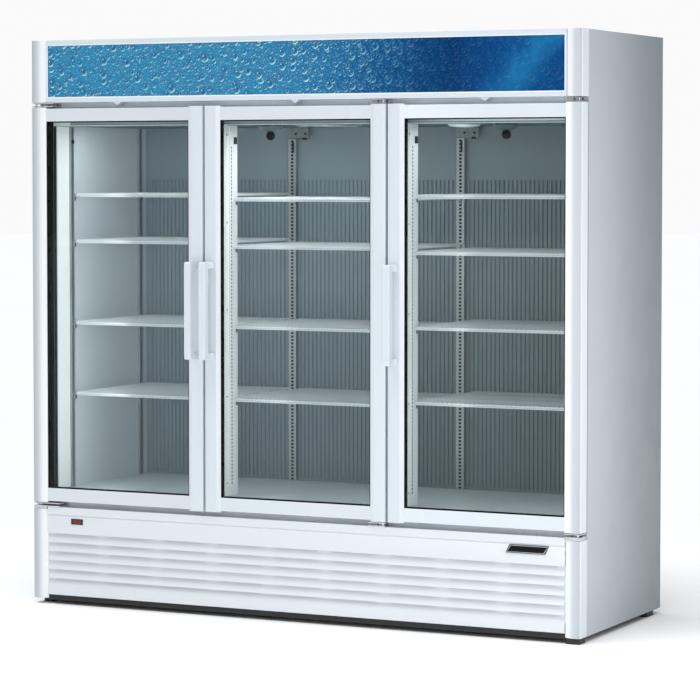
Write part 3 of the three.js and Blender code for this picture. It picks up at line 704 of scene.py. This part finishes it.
def lining():
    """The liner's paint, and the thermal break between it and the cabinet's front."""
    dress("inner_liner", LINER_PAINT)
    breaker_front, breaker_back = FRONT + 0.0642, FRONT + 0.0768
    sides = bmesh.new()
    seat, flange = FRONT + 0.0619, 0.012
    for x, inward in ((INSIDE[0], 1), (INSIDE[1], -1)):
        xs = sorted((x - inward * 0.0008, x + inward * 0.0012))
        box(sides, (xs[0], seat, FLOOR), (xs[1], breaker_back, CEILING))
    for x, inward in ((INSIDE[0], 1), (INSIDE[1], -1)):
        xs = sorted((x - inward * 0.0225, x - inward * 0.0009))
        box(sides, (xs[0], seat - 0.0009, FLOOR - flange), (xs[1], seat, CEILING + flange))
    piece("breaker_sides", sides, BREAKER, bevel=0.0003)
    level, shaded = bmesh.new(), bmesh.new()
    xs = (INSIDE[0] + 0.0014, INSIDE[1] - 0.0014)
    back = LINER_LOW.y - 0.0002
    lip = breaker_front + 0.011
    box(level, (xs[0], breaker_front, FLOOR - 0.0008), (xs[1], back, FLOOR + 0.0012))
    box(level, (xs[0], breaker_front, CEILING - 0.0012), (xs[1], lip, CEILING + 0.0008))
    box(shaded, (xs[0], lip + 0.0002, CEILING - 0.001), (xs[1], back, CEILING + 0.0008))
    piece("breaker_levels", level, TRIM_PLASTIC, bevel=0.0004)
    # The breaker's part under the ceiling takes the same dark grey, painted shade.
    piece("breaker_ceiling", shaded, CEILING_PAINTED_SHADE, bevel=0.0004)
    face_trim()


def face_trim():
    """The strip of the cabinet's front between the ceiling and the door's printed edge, in two tones: a
    painted light on its upper band and a painted shade on its lower band.
    """
    front, back = FRONT + 0.0612, FRONT + 0.0619
    low, step, top = CEILING + 0.0009, CEILING + 0.0055, CEILING + 0.014
    end = INSIDE[0] + 0.069
    corner, pale, shade_strip = bmesh.new(), bmesh.new(), bmesh.new()
    box(corner, (INSIDE[0] + 0.0075, front, low), (end, back, top))
    box(pale, (end + 0.0002, front, step + 0.0001), (INSIDE[1], back, top))
    box(shade_strip, (end + 0.0002, front, low), (INSIDE[1], back, step))
    piece("face_trim_corner", corner, TRIM_PLASTIC)
    piece("face_trim_upper", pale, LIP_PAINTED_LIGHT)
    piece("face_trim_lower", shade_strip, LIP_PAINTED_SHADE)


def wall_panels():
    """A white moulding with round front corners on each side wall, before the front pilaster."""
    front, back = FRONT + 0.077, FRONT + 0.158
    low, high = FLOOR + 0.0015, CEILING - 0.0015
    radius = 0.008
    thick = 0.005
    corner = [(front + radius - radius * math.cos(t), high - radius + radius * math.sin(t))
              for t in spread(0, math.pi / 2, 8)]
    foot = [(front + radius - radius * math.cos(t), low + radius - radius * math.sin(t))
            for t in spread(math.pi / 2, 0, 8)]
    outline = [(back, low)] + foot + corner + [(back, high)]
    mesh = bmesh.new()
    for x, inward in ((INSIDE[0], 1), (INSIDE[1], -1)):
        slab(mesh, *[[(x + inward * out, y, z) for y, z in outline] for out in (thick, 0.0002)])
    piece("wall_panels", mesh, TRIM_PLASTIC, bevel=0.0015)


def ribbed_back():
    """The rear duct's cover: upright ribs in the lower part and a plain sheet over it."""
    top = 1.5
    plain = REAR - 0.0012
    mesh = bmesh.new()
    clear = 0.0005
    box(mesh, (INSIDE[0] + clear, plain, FLOOR + clear), (INSIDE[1] - clear, REAR - 0.0002, CEILING - clear))
    pitch, crest, depth, between = 0.0164, 0.0055, 0.0058, 0.003
    count = int((INSIDE[1] - INSIDE[0] - 0.03) / pitch)
    start = -count * pitch / 2
    for i in range(count):
        x = start + i * pitch
        foot = x + between
        width = pitch - 2 * between
        outline = ((foot, plain), (foot + (width - crest) / 2, plain - depth),
                   (foot + (width + crest) / 2, plain - depth), (x + pitch - between, plain))
        drawn(mesh, outline, FLOOR + 0.012, top)
    piece("rear_cover", mesh, REAR_PAINT, smooth=False)


def slotted_strip(mesh, origin, across, out, low, high, width, depth):
    """Adds an upright channel whose face is pierced with slots at the shelf pitch.
    across is the direction over its width and out the one away from what it is fixed to."""
    across, out = Vector(across), Vector(out)
    origin = Vector((origin[0], origin[1], 0))
    slot_half, slot_tall = width * 0.17, 0.0078
    edges = (-width / 2, -slot_half, slot_half, width / 2)
    count = int((high - low) / SLOT_PITCH)
    levels = [low]
    for i in range(count):
        base = low + i * SLOT_PITCH + (SLOT_PITCH - slot_tall) / 2
        levels += [base, base + slot_tall]
    levels.append(high)
    grid = [[mesh.verts.new(origin + across * u + out * depth + Vector((0, 0, z))) for u in edges]
            for z in levels]
    for row in range(len(levels) - 1):
        for column in range(3):
            if column == 1 and row % 2 == 1:
                continue
            mesh.faces.new((grid[row][column], grid[row][column + 1], grid[row + 1][column + 1],
                            grid[row + 1][column]))
    for column in (0, 3):
        foot = [mesh.verts.new(origin + across * edges[column] + Vector((0, 0, z))) for z in levels]
        for row in range(len(levels) - 1):
            mesh.faces.new((grid[row][column], grid[row + 1][column], foot[row + 1], foot[row]))


def pilasters():
    """Slotted channels that the shelves hang on: front and rear on each wall, and behind the mullions."""
    low, high = FLOOR + 0.002, CEILING - 0.002
    rear_top = high - 0.042
    mesh = bmesh.new()
    for y in PILASTERS:
        slotted_strip(mesh, (INSIDE[0] + 0.0002, y), TO_FRONT, (1, 0, 0), low, high, 0.023, 0.0095)
        slotted_strip(mesh, (INSIDE[1] - 0.0002, y), TO_BACK, (-1, 0, 0), low, high, 0.023, 0.0095)
    for x in REAR_PILASTERS:
        slotted_strip(mesh, (x, REAR - 0.0075), (1, 0, 0), TO_FRONT, low, rear_top, 0.030, 0.014)
    strips = piece("pilasters", mesh, PILASTER, smooth=False)
    strips.modifiers.new("sheet", "SOLIDIFY").thickness = 0.001
    # Black strips behind the channels: painted shade for what shows through the slots.
    mesh = bmesh.new()
    for y in PILASTERS:
        box(mesh, (INSIDE[0] + 0.0003, y - 0.008, low), (INSIDE[0] + 0.0012, y + 0.008, high))
        box(mesh, (INSIDE[1] - 0.0012, y - 0.008, low), (INSIDE[1] - 0.0003, y + 0.008, high))
    for x in REAR_PILASTERS:
        box(mesh, (x - 0.011, REAR - 0.0085, low), (x + 0.011, REAR - 0.0078, rear_top))
    piece("pilaster_shadow_gaps", mesh, BLACK_PLASTIC, smooth=False)


def mullion_details():
    """Screws up each mullion, a slot row for the shelf clips, and the lamps between the posts."""
    screws = bmesh.new()
    slots = bmesh.new()
    for side in ("left", "right"):
        softened(f"mullion_{side}", TRIM_PLASTIC, bevel=0.0018, segments=3)
        dress(f"interior_lamp_{side}", LAMP_COVER)
        low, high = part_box(f"mullion_{side}")
        middle = (low.x + high.x) / 2
        post_y, first, last = FRONT + 0.103, high.z - 0.035, low.z + 0.05
        for z in spread(first, last, 5):
            for x, outward in ((low.x, -1), (high.x, 1)):
                screw(screws, (x, post_y, z), (outward, 0, 0), 0.0036)
        # The slots are thin black boxes on the posts' sides: painted shade for the openings.
        half, slot_half = 0.017, 0.0038
        for i in range(int((high.z - low.z - 0.1) / SLOT_PITCH)):
            z = low.z + 0.045 + i * SLOT_PITCH
            for outward in (-1, 1):
                x = middle + outward * half
                xs = sorted((x + outward * 0.0002, x - outward * 0.0005))
                box(slots, (xs[0], FRONT + 0.169, z - slot_half), (xs[1], FRONT + 0.1745, z + slot_half))
    piece("mullion_screws", screws, CHROME)
    piece("mullion_slots", slots, BLACK_PLASTIC, smooth=False)


def shelf(section, level):
    """A coated wire shelf: close wires over cross rods, bent down at the front."""
    node = f"shelf_{section}_{level}"
    low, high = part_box(node)
    wire, rail, lower = 0.0016, 0.0029, 0.0021  # radii
    pitch, side_margin = 0.0172, 0.009
    count = round((high.x - low.x - 0.012) / pitch)
    top = high.z - wire
    rail_z = high.z - 2 * wire - rail
    front = low.y + rail + wire
    mesh = bmesh.new()
    for x in spread(low.x + side_margin, high.x - side_margin, count + 1):
        bend = [(x, high.y - 0.004, top), (x, low.y + 0.004, top), (x, low.y + 0.0017, top - 0.0025),
                (x, low.y + 0.0017, low.z + lower)]
        rod(mesh, bend, wire, 6)
    for y in (front + 0.0012, low.y + 0.17, low.y + 0.34, high.y - rail):
        rod(mesh, [(low.x + rail, y, rail_z), (high.x - rail, y, rail_z)], rail, 8)
    rod(mesh, [(low.x + 0.004, low.y + wire * 2 + lower, low.z + lower),
               (high.x - 0.004, low.y + wire * 2 + lower, low.z + lower)], lower, 8)
    for x in (low.x + rail, high.x - rail):
        side = [(x, high.y - 0.002, rail_z), (x, front, rail_z), (x, low.y + 0.004, low.z + lower)]
        rod(mesh, side, rail, 8)
    piece(f"{node}_wires", mesh, WIRE, CABINET, (node,))


def shelf_clips():
    """A bent clip under each shelf corner, hooked into its pilaster."""
    mesh = bmesh.new()
    for section in SECTIONS:
        for level in LEVELS:
            low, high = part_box(f"shelf_{section}_{level}")
            under = low.z + 0.0012
            for x, outward in ((low.x, -1), (high.x, 1)):
                wall = (section == 1 and outward < 0) or (section == 3 and outward > 0)
                reach = 0.0032 if wall else 0.0012
                fronts = FRONT + (0.187 if wall else 0.204)
                for y in (fronts, PILASTERS[1]):
                    xs = sorted((x + outward * reach, x - outward * 0.014))
                    box(mesh, (xs[0], y - 0.006, under - 0.0022), (xs[1], y + 0.006, under - 0.0006))
                    xs = sorted((x + outward * reach, x + outward * (reach - 0.0014)))
                    box(mesh, (xs[0], y - 0.006, under - 0.014), (xs[1], y + 0.006, under + 0.010))
    piece("shelf_clips", mesh, CHROME, bevel=0.0004)


def ceiling_fittings():
    """Plates over the rear pilasters, black clips, round knobs on shallow dishes, and the ceiling itself."""
    plates, screws, clips = bmesh.new(), bmesh.new(), bmesh.new()
    face = REAR - 0.0265
    low = CEILING - 0.042
    for x in REAR_PILASTERS:
        left, right = x - 0.016, x + 0.072
        box(plates, (left, face, low), (right, face + 0.002, CEILING - 0.0004))
        box(plates, (left, face + 0.002, CEILING - 0.0024), (right, REAR - 0.004, CEILING - 0.0004))
        rod(plates, [(left, face - 0.0014, low), (right, face - 0.0014, low)], 0.0022, 8)
        for across in (0.018, 0.056):
            screw(screws, (x + across, face, CEILING - 0.024), TO_FRONT, 0.0045)
        box(clips, (x + 0.046, face - 0.004, low - 0.004), (x + 0.064, face - 0.0006, low + 0.004))
        box(clips, (x + 0.001, REAR - 0.0245, low - 0.05), (x + 0.008, REAR - 0.0217, low - 0.012))
    piece("pilaster_plates", plates, DISH, bevel=0.0006)
    piece("pilaster_screws", screws, BLACK_PLASTIC)
    top = CEILING - 0.066
    for side, outward in (("left", -1), ("left", 1), ("right", -1), ("right", 1)):
        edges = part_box(f"mullion_{side}")
        x = (edges[0].x + edges[1].x) / 2 + outward * 0.0172
        xs = sorted((x, x + outward * 0.0045))
        box(clips, (xs[0], FRONT + 0.187, top), (xs[1], FRONT + 0.205, top + 0.024))
    for x, outward in ((INSIDE[0], 1), (INSIDE[1], -1)):
        xs = sorted((x + outward * 0.0105, x + outward * 0.0145))
        box(clips, (xs[0], PILASTERS[0] - 0.006, top + 0.004), (xs[1], PILASTERS[0] + 0.006, top + 0.018))
    piece("black_clips", clips, BLACK_PLASTIC, bevel=0.0007)
    knobs, dishes = bmesh.new(), bmesh.new()
    dish = ((0, 0), (0.041, 0), (0.045, 0.004), (0.039, 0.0125), (0.027, 0.0195), (0.015, 0.0225),
            (0.0, 0.0225))
    knobs_x, ball, centre = (-0.165, 0.714), 0.0158, 0.0365
    for x in knobs_x:
        place = Vector((x, FRONT + 0.15, CEILING_FACE))
        turned(dishes, dish, place, DOWN, 32)
        profile = [(0.0, 0.016), (0.0065, 0.016), (0.0065, 0.0225)]
        for turn in spread(math.radians(26), math.pi, 12):
            profile.append((ball * math.sin(turn), centre - ball * math.cos(turn)))
        profile[-1] = (0.0, centre + ball)
        turned(knobs, profile, place, DOWN, 28)
    piece("ceiling_dishes", dishes, DISH_SHADE)
    piece("ceiling_knobs", knobs, BREAKER)
    ceiling_panel()
    light_cover()
    fan_guard()


def ceiling_panel():
    """The coil cover's underside: a sheet in a dark grey that is painted shade, with a square left open over
    the fan's guard.
    """
    low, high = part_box("evaporator_fan")
    middle = (low + high) / 2
    reach = 0.125
    xs = (INSIDE[0] + 0.001, middle.x - reach, middle.x + reach, INSIDE[1] - 0.001)
    ys = (LINER_LOW.y + 0.0008, middle.y - reach, middle.y + reach, REAR - 0.003)
    z = (CEILING - 0.0018, CEILING - 0.0003)
    mesh = bmesh.new()
    box(mesh, (xs[0], ys[0], z[0]), (xs[1], ys[3], z[1]))
    box(mesh, (xs[2], ys[0], z[0]), (xs[3], ys[3], z[1]))
    box(mesh, (xs[1], ys[0], z[0]), (xs[2], ys[1], z[1]))
    box(mesh, (xs[1], ys[2], z[0]), (xs[2], ys[3], z[1]))
    piece("ceiling_panel", mesh, CEILING_PAINTED_SHADE, smooth=False)


def light_cover():
    """A pale round cover on the right-hand section's ceiling."""
    mesh = bmesh.new()
    cover_x = 0.549
    profile = ((0, 0), (0.053, 0), (0.056, 0.002), (0.049, 0.008), (0.025, 0.0115), (0.0, 0.0125))
    turned(mesh, profile, (cover_x, FRONT + 0.18, CEILING_FACE), DOWN, 36)
    piece("light_cover", mesh, LINER_PAINT)


def fan_guard():
    """Wire rings and spokes under the evaporator's fan."""
    low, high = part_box("evaporator_fan")
    centre = (low + high) / 2
    mesh = bmesh.new()
    z = CEILING - 0.003
    under, inner, outer = z - 0.0018, 0.026, 0.116
    for radius in (inner, 0.044, 0.062, 0.080, 0.098, 0.112):
        points = [(centre.x + radius * math.cos(t), centre.y + radius * math.sin(t), z)
                  for t in spread(0, 2 * math.pi, 33)]
        rod(mesh, points, 0.0013, 6)
    for k in range(6):
        turn = k * math.pi / 3
        spoke = [(centre.x + away * math.cos(turn), centre.y + away * math.sin(turn), under)
                 for away in (inner, outer)]
        rod(mesh, spoke, 0.0016, 6)
    piece("fan_guard", mesh, CHROME)


def hidden_machinery():
    softened("condenser_fan", BLACK_PLASTIC, "condenser_fan", bevel=0.0006)
    softened("evaporator_fan", BLACK_PLASTIC, "evaporator_fan", bevel=0.0006)
    softened("compressor", COMPRESSOR, bevel=0.001)
    dress("condenser_coil", ALUMINIUM)
    dress("evaporator_coil", ALUMINIUM)
    dress("evaporator_cover", LINER_PAINT)


# ---------------------------------------------------------------- stage

def floor():
    """A pale disc far wider than the view."""
    look = Look("studio_floor", (0.95, 0.955, 0.96, 1), 0.8)
    look.roughness(look.remap(look.noise(0.7, 3), 0.3, 0.7, 0.75, 0.9))
    mesh = bmesh.new()
    bmesh.ops.create_circle(mesh, cap_ends=True, segments=64, radius=60)
    data = bpy.data.meshes.new("studio_floor")
    mesh.to_mesh(data)
    mesh.free()
    data.materials.append(look.material)
    obj = bpy.data.objects.new("studio_floor", data)
    SCENE.collection.objects.link(obj)


def soft_light(name, place, target, width, height, power, mirrored=False):
    """A rectangular lamp that the camera never sees; only a mirrored one shows in glossy surfaces."""
    data = bpy.data.lights.new(name, "AREA")
    data.shape = "RECTANGLE"
    data.size, data.size_y = width, height
    data.energy = power
    obj = bpy.data.objects.new(name, data)
    SCENE.collection.objects.link(obj)
    obj.location = place
    aim = Vector(target) - Vector(place)
    obj.rotation_euler = aim.to_track_quat("-Z", "Y").to_euler()
    obj.visible_camera = False
    obj.visible_glossy = mirrored


def sky_light(name, toward, power, spread_angle):
    """A very soft light that falls the same everywhere, so the floor stays even out to its edge."""
    data = bpy.data.lights.new(name, "SUN")
    data.energy = power
    data.angle = math.radians(spread_angle)
    obj = bpy.data.objects.new(name, data)
    SCENE.collection.objects.link(obj)
    obj.rotation_euler = Vector(toward).to_track_quat("-Z", "Y").to_euler()


def lights():
    """Even light all round, a large soft key from the camera's side, and small lamps inside."""
    surround, backdrop = 0.35, 0.96  # what lights the case, and what the camera sees behind it
    world = bpy.data.worlds.new("studio")
    SCENE.world = world
    world.use_nodes = True
    tree = world.node_tree
    background = tree.nodes["Background"]
    background.inputs["Color"].default_value = (0.95, 0.975, 1.0, 1)
    background.inputs["Strength"].default_value = surround
    seen = tree.nodes.new("ShaderNodeBackground")
    seen.inputs["Color"].default_value = (1, 1, 1, 1)
    seen.inputs["Strength"].default_value = backdrop
    path = tree.nodes.new("ShaderNodeLightPath")
    mixed = tree.nodes.new("ShaderNodeMixShader")
    tree.links.new(path.outputs["Is Camera Ray"], mixed.inputs[0])
    tree.links.new(background.outputs[0], mixed.inputs[1])
    tree.links.new(seen.outputs[0], mixed.inputs[2])
    tree.links.new(mixed.outputs[0], tree.nodes["World Output"].inputs["Surface"])
    sky_light("overhead", (0.15, 0.2, -1), 2.4, 50)
    soft_light("key", (1.55, -4.3, 1.3), (0.0, -0.3, 1.0), 2.1, 2.4, 44, mirrored=True)
    soft_light("side_strip", (1.8, -0.5, 1.0), (1.04, -0.2, 1.0), 0.35, 2.2, 6)
    inside_y = FRONT + 0.2
    middle = (FLOOR + CEILING) / 2
    for x, power in ((-0.64, 0.8), (0.03, 2.0), (0.68, 0.8)):
        above = (x, inside_y, CEILING - 0.012)
        soft_light(f"inside_{x:+.1f}", above, (x, inside_y + 0.12, FLOOR), 0.5, 0.1, power)
    for x, power in ((-0.74, 1.1), (-0.1, 0.66), (0.59, 0.62)):
        beside, toward = (x, FRONT + 0.1, middle), (x - 1, FRONT + 0.13, middle)
        soft_light(f"strip_{x:+.1f}", beside, toward, 0.05, 1.27, power)


def camera():
    """Placed and shifted to match the photo's long edges."""
    data = bpy.data.cameras.new("camera")
    data.sensor_width = 36
    data.lens = 146.64
    data.shift_x = 0.0082
    data.shift_y = -0.06
    data.clip_end = 200
    obj = bpy.data.objects.new("camera", data)
    SCENE.collection.objects.link(obj)
    turn, tilt = math.radians(26.153), math.radians(2.695)
    obj.location = (4.394, -8.9063, 1.5337)
    aim = Vector((-math.sin(turn) * math.cos(tilt), math.cos(turn) * math.cos(tilt), -math.sin(tilt)))
    obj.rotation_euler = aim.to_track_quat("-Z", "Y").to_euler()
    SCENE.camera = obj


# ---------------------------------------------------------------- the whole case

outer_shell()
back_details()
header()
door_stops()
lower_panel()
hinge_brackets()
for number in SECTIONS:
    door(number)
lining()
wall_panels()
ribbed_back()
pilasters()
mullion_details()
for section in SECTIONS:
    for level in LEVELS:
        shelf(section, level)
shelf_clips()
ceiling_fittings()
hidden_machinery()
floor()
lights()
camera()
SCENE.view_settings.view_transform = "Standard"
